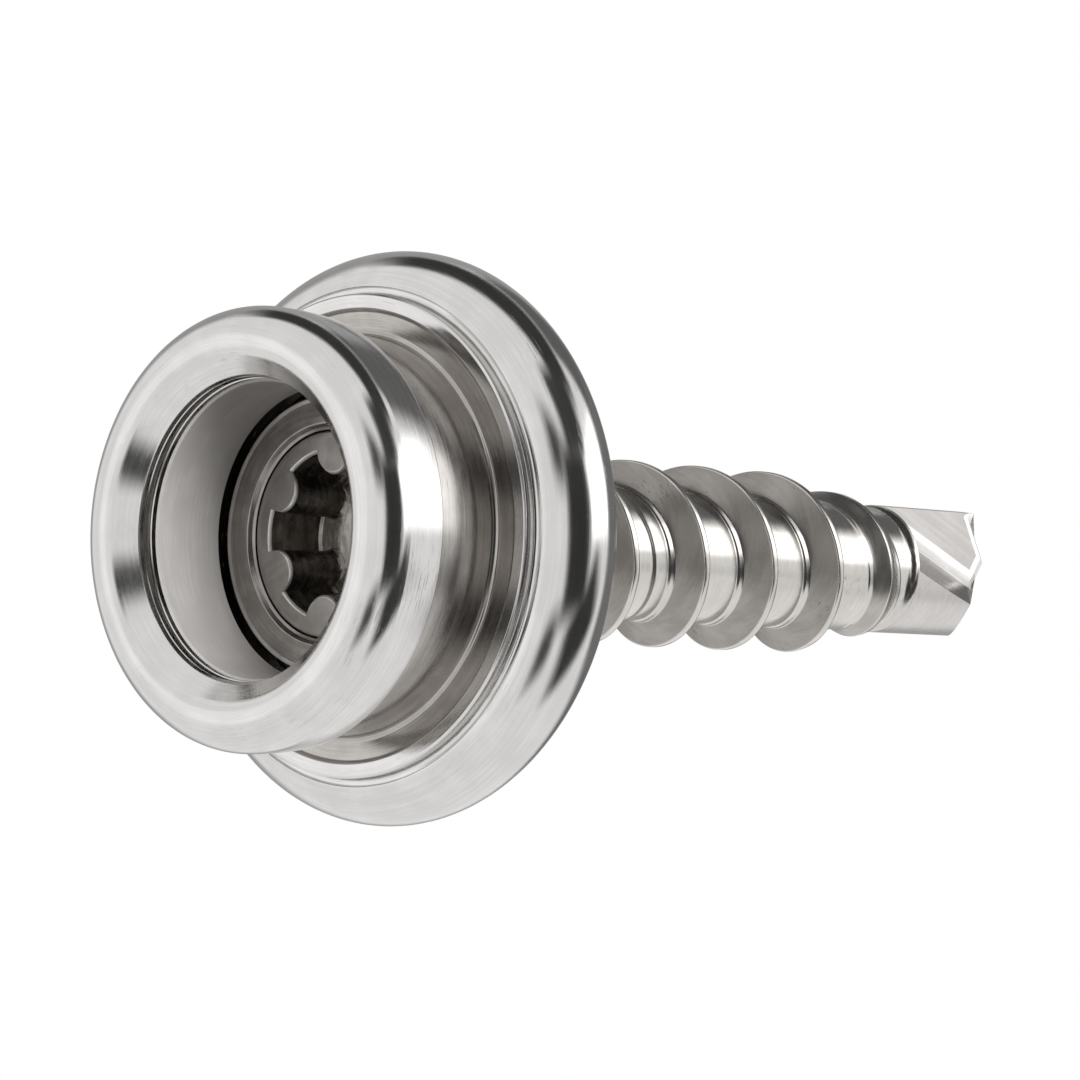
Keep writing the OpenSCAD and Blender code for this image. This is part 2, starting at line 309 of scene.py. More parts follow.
class Wiring:
    """Adds nodes to a node tree and links them."""

    def __init__(self, tree: bpy.types.NodeTree) -> None:
        """Keep the tree and empty it."""
        self.tree = tree
        tree.nodes.clear()

    def add(self, kind: str, settings: dict[str, object] | None = None,
            **inputs: object) -> bpy.types.Node:
        """Add a node, set its properties and fill its inputs.

        Args:
            kind: Type name of the node.
            settings: Properties of the node.
            **inputs: Input sockets by name, with _ for a space. A socket is linked, a value is
                set.

        Returns:
            The new node.
        """
        node = self.tree.nodes.new(kind)
        for key, value in (settings or {}).items():
            setattr(node, key, value)
        for key, value in inputs.items():
            self.feed(node, key.replace("_", " "), value)
        return node

    def feed(self, node: bpy.types.Node, name: str | int, value: object) -> None:
        """Link a socket to an input, or set the input to a value.

        Args:
            node: The node that has the input.
            name: Name or number of the input.
            value: The socket or the value.
        """
        socket = node.inputs[name]
        if isinstance(value, bpy.types.NodeSocket):
            self.tree.links.new(value, socket)
        else:
            socket.default_value = value

    def maths(self, operation: str, first: object, second: object = 0.0,
              third: object = 0.0) -> bpy.types.NodeSocket:
        """Add a Math node.

        Args:
            operation: Name of the operation.
            first: First number, or a socket, as are the others.
            second: Second number.
            third: Third number.

        Returns:
            The result.
        """
        node = self.add("ShaderNodeMath", {"operation": operation})
        for index, value in enumerate((first, second, third)):
            self.feed(node, index, value)
        return node.outputs[0]

    def vector(self, operation: str, first: object, second: object = (0.0, 0.0, 0.0),
               scale: object = 1.0) -> bpy.types.Node:
        """Add a Vector Math node.

        Args:
            operation: Name of the operation.
            first: First vector.
            second: Second vector, where the operation has one.
            scale: Factor, where the operation scales.

        Returns:
            The new node.
        """
        node = self.add("ShaderNodeVectorMath", {"operation": operation})
        self.feed(node, 0, first)
        if operation == "SCALE":
            self.feed(node, "Scale", scale)
        elif operation not in ("LENGTH", "NORMALIZE"):
            self.feed(node, 1, second)
        return node

    def ramp(self, value: object, low: float, high: float, start: float = 0.0,
             stop: float = 1.0) -> bpy.types.NodeSocket:
        """Map a number smoothly from one range onto another.

        Args:
            value: The number.
            low: Number that gives start.
            high: Number that gives stop.
            start: Result at low and beyond it.
            stop: Result at high and beyond it.

        Returns:
            The result.
        """
        node = self.add("ShaderNodeMapRange", {"interpolation_type": "SMOOTHSTEP"}, Value=value)
        limits = {"From Min": low, "From Max": high, "To Min": start, "To Max": stop}
        for label, number in limits.items():
            node.inputs[label].default_value = number
        return node.outputs["Result"]

    def blend(self, factor: object, first: object, second: object) -> bpy.types.NodeSocket:
        """Mix two colours.

        Args:
            factor: Share of the second colour.
            first: First colour.
            second: Second colour.

        Returns:
            The mixed colour.
        """
        node = self.add("ShaderNodeMix", {"data_type": "RGBA"})
        for index, value in ((0, factor), (6, first), (7, second)):
            self.feed(node, index, value)
        return node.outputs[2]

    def shaded(self, factor: object, first: object, second: object) -> bpy.types.NodeSocket:
        """Mix two shaders.

        Args:
            factor: Share of the second shader.
            first: First shader.
            second: Second shader.

        Returns:
            The mixed shader.
        """
        node = self.add("ShaderNodeMixShader")
        for index, value in enumerate((factor, first, second)):
            self.feed(node, index, value)
        return node.outputs[0]

    def summed(self, start: float, *terms: tuple[object, float]) -> bpy.types.NodeSocket:
        """Add up numbers, each times a factor.

        Args:
            start: What the numbers are added to.
            *terms: Each number with its factor.

        Returns:
            The sum.
        """
        total: object = start
        for value, factor in terms:
            total = self.maths("MULTIPLY_ADD", value, factor, total)
        return total

    def noise(self, place: object, scale: object, detail: float,
              roughness: float = 0.5) -> bpy.types.NodeSocket:
        """Add a noise at a place and return its value."""
        return self.add("ShaderNodeTexNoise", Vector=place, Scale=scale, Detail=detail,
                        Roughness=roughness).outputs[0]

    def place_mm(self) -> bpy.types.NodeSocket:
        """Return the place on the object, in millimetres."""
        place = self.add("ShaderNodeTexCoord").outputs["Object"]
        return self.vector("SCALE", place, scale=1 / MM).outputs[0]

    def turned_place(self, along: object, drift: object, fineness: object) -> bpy.types.NodeSocket:
        """Place for a noise that runs around the axis.

        The direction around the axis times the drift, plus the length along the profile times the
        fineness on the third axis.

        Args:
            along: Length along the profile.
            drift: How fast the noise changes around the axis.
            fineness: How fast it changes along the profile.

        Returns:
            The place.
        """
        place = self.add("ShaderNodeTexCoord").outputs["Object"]
        flat = self.vector("MULTIPLY", place, (1.0, 1.0, 0.0)).outputs[0]
        around = self.vector("NORMALIZE", flat).outputs[0]
        slow = self.vector("SCALE", around, scale=drift).outputs[0]
        lift = self.add("ShaderNodeCombineXYZ", Z=self.maths("MULTIPLY", along, fineness))
        return self.vector("ADD", slow, lift.outputs[0]).outputs[0]

    def point_value(self, name: str) -> bpy.types.NodeSocket:
        """Return a value that the mesh holds for each point."""
        return self.add("ShaderNodeAttribute", {"attribute_name": name}).outputs["Fac"]


def new_material(name: str) -> tuple[bpy.types.Material, Wiring]:
    """Start a node material.

    Args:
        name: Name of the material.

    Returns:
        The material and its wiring.
    """
    material = bpy.data.materials.new(name)
    material.use_nodes = True
    return material, Wiring(material.node_tree)


def new_group(name: str, inputs: dict[str, float], outputs: list[str]) -> tuple[
        bpy.types.NodeTree, Wiring, bpy.types.Node, bpy.types.Node]:
    """Start a shader node group with number sockets.

    Args:
        name: Name of the group.
        inputs: Default of each input.
        outputs: Names of the outputs.

    Returns:
        The tree, its wiring, and its input and output nodes.
    """
    tree = bpy.data.node_groups.new(name, "ShaderNodeTree")
    for label, value in inputs.items():
        socket = tree.interface.new_socket(label, in_out="INPUT", socket_type="NodeSocketFloat")
        socket.default_value = value
    for label in outputs:
        tree.interface.new_socket(label, in_out="OUTPUT", socket_type="NodeSocketFloat")
    wiring = Wiring(tree)
    return tree, wiring, wiring.add("NodeGroupInput"), wiring.add("NodeGroupOutput")


class SurfaceEffects:
    """The node groups that the steel finishes share."""

    SCRATCH_DRIFT: ClassVar[float] = 9.0
    SCRATCH_FINENESS: ClassVar[float] = 38.0

    def __init__(self) -> None:
        """Build each group once."""
        self.turning = self._turning_marks()
        self.waves = self._polish_waves()
        self.scratches = self._scratches()

    @staticmethod
    def _turning_marks() -> bpy.types.NodeTree:
        """Fine lines around the axis.

        Noise over the direction around the axis, which changes slowly, and over the length along
        the profile, which changes fast, so that each mark runs around the piece.

        Returns:
            The group, from Along, Fineness and Drift to Lines.
        """
        tree, w, given, result = new_group(
            "turning_marks", {"Along": 0.0, "Fineness": 12.0, "Drift": 1.5}, ["Lines"])
        place = w.turned_place(*(given.outputs[name] for name in ("Along", "Drift", "Fineness")))
        w.feed(result, "Lines", w.noise(place, 1.0, 4.0, 0.72))
        return tree

    @staticmethod
    def _polish_waves() -> bpy.types.NodeTree:
        """Slight waviness of a polished turned face.

        Noise in object space, in millimetres, at one broad and one fine size.

        Returns:
            The group, from Size to Broad and Fine.
        """
        tree, w, given, result = new_group("polish_waves", {"Size": 1.0}, ["Broad", "Fine"])
        place = w.place_mm()
        scale = w.maths("DIVIDE", 1.0, given.outputs["Size"])
        w.feed(result, "Broad", w.noise(place, scale, 2.0))
        w.feed(result, "Fine", w.noise(place, w.maths("MULTIPLY", scale, 6.0), 3.0, 0.6))
        return tree

    @classmethod
    def _scratches(cls) -> bpy.types.NodeTree:
        """Short fine scratches that run around the axis.

        Noise over the direction around the axis and, much finer, over the length along the
        profile, of which only the peaks are kept, and those only inside patches of a broader
        noise.

        Returns:
            The group, from Along and Amount to Mask.
        """
        tree, w, given, result = new_group(
            "hair_scratches", {"Along": 0.0, "Amount": 0.5}, ["Mask"])
        place = w.turned_place(given.outputs["Along"], cls.SCRATCH_DRIFT, cls.SCRATCH_FINENESS)
        peaks = w.ramp(w.noise(place, 1.0, 2.0), 0.60, 0.70)
        patch = w.noise(w.place_mm(), 0.6, 1.0)
        more = w.maths("MULTIPLY", given.outputs["Amount"], 0.3)
        kept = w.ramp(w.maths("ADD", patch, more), 0.5, 0.75)
        w.feed(result, "Mask", w.maths("MULTIPLY", peaks, kept))
        return tree


@dataclass(frozen=True)
class SteelFinish:
    """One finish of the stainless steel.

    Attributes:
        name: Name of the material.
        pale: Colour of the bare metal, linear; darkened as painted shade or lightened as painted
            highlight in some finishes.
        deep: Colour in its marks and stains, and of the painted shade that a point value adds,
            linear.
        roughness: Mean roughness.
        spread: How far the roughness varies.
        line_depth: Depth of the turning marks, in millimetres.
        line_fineness: Turning marks per millimetre.
        wave_depth: Depth of the waviness, in millimetres.
        wave_size: Size of the waviness, in millimetres.
        scratch: Amount of hair scratches.
        stain_and_shade: How far the colour varies.
        brushed: Stretch of the highlight across the turning marks.
        metal: Share of clear metal; the rest scatters light as a fine matt texture does.
        value: Name of a point value that adds roughness and painted shade in the deep colour, or
            nothing.
        value_rough: Roughness added where that value is 1.
        value_deep: Share of the deep colour added as painted shade where that value is 1.
        turn: Turn of the stretched highlight, as a share of a full turn.
    """

    DRIFT: ClassVar[float] = 1.5
    LEAST_ROUGHNESS: ClassVar[float] = 0.04
    FINE_WAVE_SHARE: ClassVar[float] = 0.12
    HAIR_STAIN: ClassVar[float] = 0.3
    HAIR_ROUGHNESS: ClassVar[float] = 0.12
    HAIR_DEPTH: ClassVar[float] = 0.0006

    name: str
    pale: tuple[float, float, float] = (0.68, 0.67, 0.66)
    deep: tuple[float, float, float] = (0.36, 0.34, 0.32)
    roughness: float = 0.12
    spread: float = 0.08
    line_depth: float = 0.0012
    line_fineness: float = 14.0
    wave_depth: float = 0.0012
    wave_size: float = 0.9
    scratch: float = 0.2
    stain_and_shade: float = 0.2
    brushed: float = 0.0
    metal: float = 1.0
    value: str = ""
    value_rough: float = 0.0
    value_deep: float = 0.0
    turn: float = 0.25

    def material(self, effects: SurfaceEffects) -> bpy.types.Material:
        """Build the finish as a node material.

        Colour, roughness and height come from the shared groups; metal, anisotropy and its turn
        are plain values of the shader.

        Args:
            effects: The shared node groups.

        Returns:
            The material.
        """
        material, w = new_material(self.name)
        along = w.point_value("along")
        lines = w.add("ShaderNodeGroup", {"node_tree": effects.turning}, Along=along,
                      Fineness=self.line_fineness, Drift=self.DRIFT).outputs["Lines"]
        waves = w.add("ShaderNodeGroup", {"node_tree": effects.waves}, Size=self.wave_size)
        hairs = w.add("ShaderNodeGroup", {"node_tree": effects.scratches}, Along=along,
                      Amount=self.scratch).outputs["Mask"]
        broad, fine = waves.outputs["Broad"], waves.outputs["Fine"]
        extra = w.point_value(self.value) if self.value else 0.0

        marks = w.ramp(w.summed(0.0, (lines, 0.6), (broad, 0.4)), 0.42, 0.62, 1.0, 0.0)
        # Share of the deep colour: marks and hair scratches as stains, plus painted shade where the
        # point value is set.
        stain_and_shade = w.summed(0.0, (marks, self.stain_and_shade), (hairs, self.HAIR_STAIN),
                         (extra, self.value_deep))
        stain_and_shade.node.use_clamp = True
        colour = w.blend(stain_and_shade, (*self.pale, 1.0), (*self.deep, 1.0))

        rough = w.summed(self.roughness, (w.maths("SUBTRACT", lines, 0.5), 2 * self.spread),
                         (w.maths("SUBTRACT", fine, 0.5), self.spread),
                         (hairs, self.HAIR_ROUGHNESS), (extra, self.value_rough))
        rough = w.maths("MAXIMUM", rough, self.LEAST_ROUGHNESS)

        height = w.summed(0.0, (lines, self.line_depth * MM), (broad, self.wave_depth * MM),
                          (fine, self.FINE_WAVE_SHARE * self.wave_depth * MM),
                          (hairs, -self.HAIR_DEPTH * MM))
        bump = w.add("ShaderNodeBump", Strength=1.0, Distance=1.0, Height=height).outputs[0]

        shader = w.add("ShaderNodeBsdfPrincipled", Base_Color=colour, Roughness=rough, Normal=bump,
                       Metallic=self.metal)
        if self.brushed:
            tangent = w.add("ShaderNodeTangent", {"direction_type": "UV_MAP", "uv_map": "turned"})
            w.feed(shader, "Anisotropic", self.brushed)
            w.feed(shader, "Anisotropic Rotation", self.turn)
            w.feed(shader, "Tangent", tangent.outputs[0])
        w.add("ShaderNodeOutputMaterial", Surface=shader.outputs[0])
        return material


# Finishes of each piece, in the order of its zones; some colours are painted shade or painted
# highlights
STUD_FINISHES = (
    SteelFinish("polished_stainless"),
    SteelFinish("brushed_bore", pale=(0.59, 0.575, 0.56), roughness=0.42, spread=0.1,
                line_fineness=22.0, wave_depth=0.0004, stain_and_shade=0.3, brushed=0.7, metal=0.3),
    # Darker colour of the neck: painted shade, standing in for the darker reflections between the
    # bead and the ring.
    SteelFinish("satin_neck_painted_shade", pale=(0.46, 0.44, 0.42), deep=(0.24, 0.22, 0.20), roughness=0.16,
                line_depth=0.0008, line_fineness=9.0, stain_and_shade=0.4),
    # Dark colour of the staked lip, its groove and its inner wall: painted shade of that hollow.
    SteelFinish("staked_lip_painted_shade", pale=(0.34, 0.325, 0.31), deep=(0.15, 0.14, 0.13), roughness=0.2,
                wave_depth=0.003, wave_size=0.5, stain_and_shade=0.5),
)
HEAD_FINISHES = (
    # Dark colour of the head outside its recess: painted shade, standing in for the dark bore that
    # the face reflects.
    SteelFinish("stamped_face_painted_shade", pale=(0.30, 0.285, 0.27), deep=(0.15, 0.14, 0.13), roughness=0.34,
                line_depth=0.0006, wave_depth=0.006, wave_size=0.5, stain_and_shade=0.5),
    # Dark colour and near-black stains in the recess: painted shade of the hollow; the forged
    # texture is the bump.
    SteelFinish("forged_recess_painted_shade", pale=(0.36, 0.34, 0.315), deep=(0.10, 0.09, 0.08), roughness=0.3,
                spread=0.15, line_depth=0.0, wave_depth=0.02, wave_size=0.35, stain_and_shade=0.7,
                metal=0.96),
    # Pale, partly matt colour along the recess's rim: painted highlight.
    SteelFinish("recess_rim_painted_highlight", pale=(0.82, 0.80, 0.78), roughness=0.3, line_depth=0.0,
                wave_depth=0.004, wave_size=0.3, stain_and_shade=0.3, metal=0.45),
)
# The flank value darkens the flanks as painted shade and makes them rougher.
THREAD_FINISHES = (
    SteelFinish("rolled_thread", pale=(0.66, 0.64, 0.61), deep=(0.20, 0.18, 0.16), roughness=0.15,
                line_depth=0.0006, line_fineness=9.0, wave_depth=0.004, wave_size=0.8, stain_and_shade=0.15,
                value="flank", value_rough=0.26, value_deep=0.62),
)
POINT_FINISHES = (
    SteelFinish("milled_point", pale=(0.64, 0.62, 0.60), roughness=0.17, line_depth=0.0008,
                line_fineness=8.0, wave_depth=0.003),
    SteelFinish("pinched_flute", pale=(0.64, 0.62, 0.60), roughness=0.17, line_depth=0.0008,
                line_fineness=6.0, wave_depth=0.004, wave_size=1.1, stain_and_shade=0.25),
    # Pale, partly matt colour on the lips' bevels: painted highlight.
    SteelFinish("lip_bevel_painted_highlight", pale=(0.88, 0.86, 0.84), roughness=0.2, line_depth=0.0006,
                stain_and_shade=0.1, metal=0.35),
    # Pale, partly matt colour on the flutes' round feet: painted highlight of that band.
    SteelFinish("flute_foot_painted_highlight", pale=(0.82, 0.80, 0.78), roughness=0.2, line_depth=0.0008,
                line_fineness=6.0, stain_and_shade=0.2, metal=0.45),
)


def dressed(finishes: tuple[SteelFinish, ...],
            effects: SurfaceEffects) -> list[bpy.types.Material]:
    """Build the materials of some finishes, in their order."""
    return [finish.material(effects) for finish in finishes]


@dataclass
class TurnedStud:
    """The snap stud, turned in one piece. Radii and heights are in millimetres."""

    hole_r: float = 2.45
    pocket_r: float = 2.92
    lip_r: float = 3.36
    lip_in_r: float = 2.62
    lip_tip_r: float = 2.471
    lip_tip_rise: float = 0.009
    bore_r: float = 3.46
    relief_r: float = 3.71
    mouth_r: float = 3.58
    bead_r: float = 5.2
    nose_r: float = 0.85
    nose_in_r: float = 0.5
    side_r: float = 8.0
    side_turn: float = 0.065
    neck_r: float = 4.75
    neck_fillet: float = 0.15
    ring_r: float = 5.75
    ring_step: float = 0.09
    groove_r: float = 0.1
    flange_r: float = 6.875
    rim_r: float = 1.15
    mouth_z: float = 0.563
    bore_z: float = 1.083
    bead_z: float = 2.07
    relief_z: float = 3.02
    lip_z: float = 3.12
    face_z: float = 3.30
    stake_z: float = 3.95
    shoulder_z: float = 4.06
    ledge_z: float = 5.20
    rim_z: float = 5.40
    seat_z: float = 6.25
    columns: int = 192
    # Fine turned steps from the bore to the mouth: outwards, towards the nose, rounding
    mouth_steps: tuple[tuple[float, float, float], ...] = (
        (0.0, 0.0, 0.012), (0.05, 0.06, 0.012), (0.06, 0.17, 0.01), (0.085, 0.19, 0.01),
        (0.085, 0.25, 0.01), (0.07, 0.27, 0.01), (0.09, 0.37, 0.01), (0.105, 0.39, 0.01))

    def pocket_and_lip(self) -> list[tuple[float, float, float]]:
        """Corners from the hole over the head's seat and the staked lip to its groove.

        Returns:
            Radius, height and rounding of each corner.
        """
        tip_z = self.face_z + self.lip_tip_rise
        return [
            (self.hole_r, self.seat_z, 0.04), (self.hole_r, self.ledge_z, 0.03),
            (self.pocket_r, self.ledge_z, 0.03),
            (self.pocket_r, tip_z + self.pocket_r - self.lip_tip_r, 0.03),
            (self.lip_tip_r, tip_z, 0.012), (self.lip_in_r - 0.08, self.face_z - 0.03, 0.03),
            (self.lip_in_r, self.lip_z + 0.05, 0.04), (self.lip_r - 0.2, self.lip_z + 0.03, 0.05),
            (self.lip_r - 0.1, self.lip_z, 0.04), (self.lip_r, self.lip_z + 0.08, 0.04),
            (self.lip_r, self.stake_z, 0.05), (self.relief_r, self.stake_z, 0.05),
            (self.relief_r, self.relief_z, 0.015), (self.bore_r, self.relief_z, 0.015),
        ]

    def head_and_neck(self) -> list[tuple[float, float, float]]:
        """Corners from the bore's end around the nose and the bead to the shoulder.

        Returns:
            Radius, height and rounding of each corner.
        """
        bulge = self.side_r * math.tan(self.side_turn)
        return [
            *((self.bore_r + out, self.bore_z - down, r) for out, down, r in self.mouth_steps),
            (self.mouth_r, self.mouth_z, 0.06), (self.mouth_r + self.mouth_z, 0.0, self.nose_in_r),
            (self.bead_r, 0.0, self.nose_r), (self.bead_r, self.nose_r + bulge, self.side_r),
            (self.bead_r - 0.075, self.bead_z - 0.14, 0.04),
            (self.bead_r - 0.21, self.bead_z, 0.04), (self.neck_r, self.bead_z, self.neck_fillet),
            (self.neck_r, self.shoulder_z, self.neck_fillet),
        ]

    def ring_and_flange(self) -> list[tuple[float, float, float]]:
        """Corners from the shoulder over the ring and its groove around the rim to the seat.

        The rim is one arc, given by three corners whose roundings have its radius.

        Returns:
            Radius, height and rounding of each corner.
        """
        step_z, rim_c = self.shoulder_z - self.ring_step, self.flange_r - self.rim_r
        groove, groove_out = self.groove_r, self.ring_r + 2 * self.groove_r
        groove_z = self.rim_z - self.rim_r + groove
        start = -math.acos((groove_out - rim_c) / self.rim_r)
        stop = math.asin((self.seat_z - self.rim_z) / self.rim_r)
        third = (stop - start) / 3
        reach = self.rim_r / math.cos(third / 2)
        return [
            (self.ring_r - 0.43, self.shoulder_z, 0.03), (self.ring_r - 0.34, step_z, 0.03),
            (self.ring_r - 0.045, step_z, 0.025), (self.ring_r, step_z + 0.045, 0.025),
            (self.ring_r, groove_z, groove * 0.9), (groove_out, groove_z, groove * 0.6),
            (groove_out, self.rim_z + self.rim_r * math.sin(start), 0.03),
            *((rim_c + reach * math.cos(t), self.rim_z + reach * math.sin(t), self.rim_r)
              for t in start + third * (np.arange(3) + 0.5)),
            (rim_c + self.rim_r * math.cos(stop), self.seat_z, 0.05),
        ]

    def outline(self) -> np.ndarray:
        """Half section of the stud as one closed outline with rounded corners.

        It runs from the hole over the head's seat, the staked lip and its groove, the bore, the
        nose, the bead, the neck, the ring and the flange's rim back to the seat.

        Returns:
            Radius and height of each point, (n, 2).
        """
        corners = [*self.pocket_and_lip(), *self.head_and_neck(), *self.ring_and_flange()]
        return rounded_outline(np.array(corners), closed=True)

    def surface(self) -> Surface:
        """Carry the outline around the axis and sort its cells into finish zones.

        Returns:
            The closed surface.
        """
        outline = self.outline()
        outline = np.vstack([outline, outline[:1]])
        along = lengths_along(outline)
        radius, height = outline.T
        hair, wide = 0.005, 0.1
        inside = (radius < self.relief_r + wide) & (height > self.bore_z - hair) & (
            height < self.stake_z + wide)
        staked = inside & (height > self.relief_z - hair)
        neck = (radius < self.ring_r - 0.4) & (radius > self.neck_r - wide) & (
            height > self.bead_z - 2 * hair) & (height < self.shoulder_z + 2 * hair)
        # The lip zone and the neck zone get darker colours that paint their shade.
        slots = np.select([staked, inside, neck], [StudZone.LIP, StudZone.BORE, StudZone.NECK],
                          StudZone.POLISHED)
        values = {"along": np.repeat(along[:, None], self.columns, 1)}
        grid = revolved(outline, self.columns)
        return joined([grid_surface(grid, along, True, slots, values)])

    def build(self, effects: SurfaceEffects) -> list[bpy.types.Object]:
        """Make the stud and dress it.

        Args:
            effects: The shared node groups.

        Returns:
            The new pieces.
        """
        return [make_piece("stud_body", self.surface(), dressed(STUD_FINISHES, effects), "stud")]


@dataclass
class DrillScrew:
    """The self-drilling screw: head, thread and drill point. Sizes are in millimetres."""

    face_z: float = 3.30
    ledge_z: float = 5.20
    thread_z: float = 7.45
    point_z: float = 23.55
    tip_z: float = 28.31
    shank_r: float = 1.79
    root_r: float = 1.69
    crest_r: float = 2.35
    head_r: float = 2.88
    face_r: float = 2.42
    lobe_r: float = 1.975
    rib_r: float = 0.53
    rib_c: float = 1.955
    recess_depth: float = 1.5
    cone_depth: float = 0.3
    pitch: float = 2.65
    crest_w: float = 0.2
    flank_w: float = 0.46
    foot_w: float = 0.17
    start_turn: float = 240.0
    lead_h: float = 0.42
    rod_r: float = 1.71
    web: float = 0.68
    slant_deg: float = 21.5
    wall_deg: float = 49.0
    foot_r: float = 0.76
    cross: float = 1.36
    slope_deg: float = 51.0
    chisel_deg: float = 121.0
    bevel_run: float = 0.3
    lip_w: float = 0.2
    bevel_drop: float = 0.13
    first_step: float = 0.06
    first_turns: float = 3.0
    last_dip: float = 0.1
    overlap: float = 0.35
    sink: float = 0.004
    head_columns: int = 480
    thread_columns: int = 144
    # Upper part of the recess's wall: inset of the outline, depth below the face
    wall_steps: tuple[tuple[float, float], ...] = (
        (-0.09, 0.0), (-0.07, 0.0), (-0.055, 0.006), (-0.01, 0.045), (0.0, 0.07), (0.008, 0.1),
        (0.045, 0.4), (0.095, 0.8))

    def lobes(self, turn: np.ndarray) -> np.ndarray:
        """Radius of the six-lobe recess in each direction.

        The round pocket's radius, or the near side of a rib's circle where that is smaller, blended
        by a soft minimum so that the corners are slightly rounded.

        Args:
            turn: Directions around the axis, in radians.

        Returns:
            The radius in each direction.
        """
        away = (turn + np.pi / 6) % (np.pi / 3) - np.pi / 6
        inside = self.rib_r ** 2 - (self.rib_c * np.sin(away)) ** 2
        near = self.rib_c * np.cos(away) - np.sqrt(np.maximum(inside, 0))
        rib = np.where(inside > 0, near, 9.0)
        soft = 0.02
        return -soft * np.logaddexp(-self.lobe_r / soft, -rib / soft)

    def head(self) -> Surface:
        """The head with its recess, and the plain shank below it, closed on the axis at both ends.

        A rounded outline runs around the axis from the shank's end to the face. From there each
        ring is a mix of a circle and the recess's outline, moved inwards, down the wall and to the
        cone.

        Returns:
            The closed surface.
        """
        columns, shank_z = self.head_columns, self.thread_z + self.overlap
        outer = rounded_outline(np.array([
            (self.shank_r, shank_z, 0.0), (self.shank_r, self.ledge_z + 0.55, 0.1),
            (self.crest_r, self.ledge_z, 0.05), (self.head_r, self.ledge_z, 0.05),
            (self.head_r, self.face_z + 0.46, 0.05), (self.face_r, self.face_z, 0.05),
            (self.lobe_r + 0.3, self.face_z, 0.0),
        ]), closed=False, turn_deg=12.0)
        floor, cone = self.recess_depth, self.recess_depth + self.cone_depth
        wall = (*self.wall_steps, (0.16, floor - 0.16), (0.19, floor - 0.06), (0.26, floor))
        # Columns: share of the recess's outline, circle's radius, inset of the outline, depth
        inner = np.array([
            (0.5, self.lobe_r + 0.2, -0.14, 0.0), *((1.0, 0.0, *step) for step in wall),
            (0.5, 1.1, 0.3, floor + 0.02), (0.0, 1.13, 0.0, floor + 0.03),
            (0.0, 1.06, 0.0, floor + 0.05), (0.0, 0.6, 0.0, cone), (0.0, 0.4, 0.0, cone + 0.02),
        ])
        share, circle, inset, depth = (column[:, None] for column in inner.T)
        turn = 2 * np.pi * np.arange(columns) / columns
        radius = (1 - share) * circle + share * (self.lobes(turn)[None, :] - inset)
        recess = np.stack([radius * np.cos(turn), radius * np.sin(turn),
                           self.face_z + depth + 0 * turn], axis=2)
        grid = np.concatenate([revolved(outer, columns), recess])
        # The marks' length stands still on the flat rows and starts anew in the recess
        flat_rows, recess_start, recess_step = 3, 9.0, 0.2
        ring = lengths_along(outer)
        along = np.concatenate([ring, np.full(flat_rows, ring[-1]), recess_start
                                + recess_step * np.arange(len(inner) - flat_rows)])
        face_rows = len(outer) + 2
        deep = np.concatenate([np.zeros(len(outer)), inner[:, 3]]) > 0.05
        # The face and recess zones get painted shade, and the recess's rim a painted highlight.
        slots = np.select([deep, np.arange(len(grid)) < face_rows],
                          [HeadZone.RECESS, HeadZone.FACE], HeadZone.HIGHLIGHT_RIM)
        values = {"along": np.repeat(along[:, None], columns, 1)}
        return joined([
            grid_surface(grid, along, True, slots, values),
            fan_surface(grid[0], np.array([0, 0, shank_z])),
            fan_surface(grid[-1], np.array([0, 0, self.face_z + cone + 0.02]), HeadZone.RECESS),
        ])

    def thread(self) -> Surface:
        """The threaded length as a lattice sheared along the helix.

        A row of the lattice keeps its place across the thread's profile while its height grows by
        one pitch for each turn, so rows follow the crest, the flanks and the root. Rows past either
        end gather on the end circle. Past the last column a row goes on one turn higher in the
        first.

        Returns:
            The closed surface.
        """
        half = self.crest_w / 2
        flank, foot = half + self.flank_w, half + self.flank_w + self.foot_w
        # Columns: distance from the crest's middle, height share of the thread
        slope = np.array([
            (0.0, 1.0), (half * 0.6, 1.0), (half * 0.85, 0.992), (half, 0.97), (half + 0.02, 0.93),
            (half + 0.25 * self.flank_w, 0.73), (half + 0.5 * self.flank_w, 0.47),
            (half + 0.75 * self.flank_w, 0.25), (flank - 0.03, 0.1), (flank, 0.075),
            (flank + 0.03, 0.062), (foot - 0.05, 0.052), (foot - 0.03, 0.046), (foot, 0.006),
            (foot + 0.025, 0.0),
        ])
        rest = np.linspace(foot + 0.07, self.pitch / 2, 9)
        side = np.vstack([slope, np.column_stack([rest, np.zeros(len(rest))])])
        across = np.concatenate([-side[::-1, 0], side[1:-1, 0]]) / self.pitch + 0.5
        tall = np.concatenate([side[::-1, 1], side[1:-1, 1]])
        low, high = self.thread_z, self.point_base() + 0.01
        per_turn, columns = len(across), self.thread_columns
        turns = math.ceil((high - low) / self.pitch) + 2
        column = np.arange(columns)[:, None]
        place = (np.arange(turns)[:, None] + across[None, :]).ravel()[None, :]
        height = low + self.pitch * (place + column / columns - 1 - self.start_turn / 360)
        held = np.clip(height, low, high)
        lead = self.point_z - np.array([1.3, 0.8, 0.3]) * self.pitch
        share = np.interp(held, [low, low + self.pitch / 2, *lead, high],
                          [0, 1, 1, self.lead_h, self.lead_h, 0])
        tall = np.tile(tall, turns)[None, :]
        # The first root's shoulder ends in a crest, and where none covers it runs out
        end, ease = self.first_turns, 0.04
        past = eased(place, end - ease, end + ease)
        next_turn = past - eased(place, end + 1 - ease, end + 1 + ease)
        run_out = next_turn * (1 - eased(column / columns, 0.0, 0.25))
        shoulder = self.first_step * (1 - past + run_out)
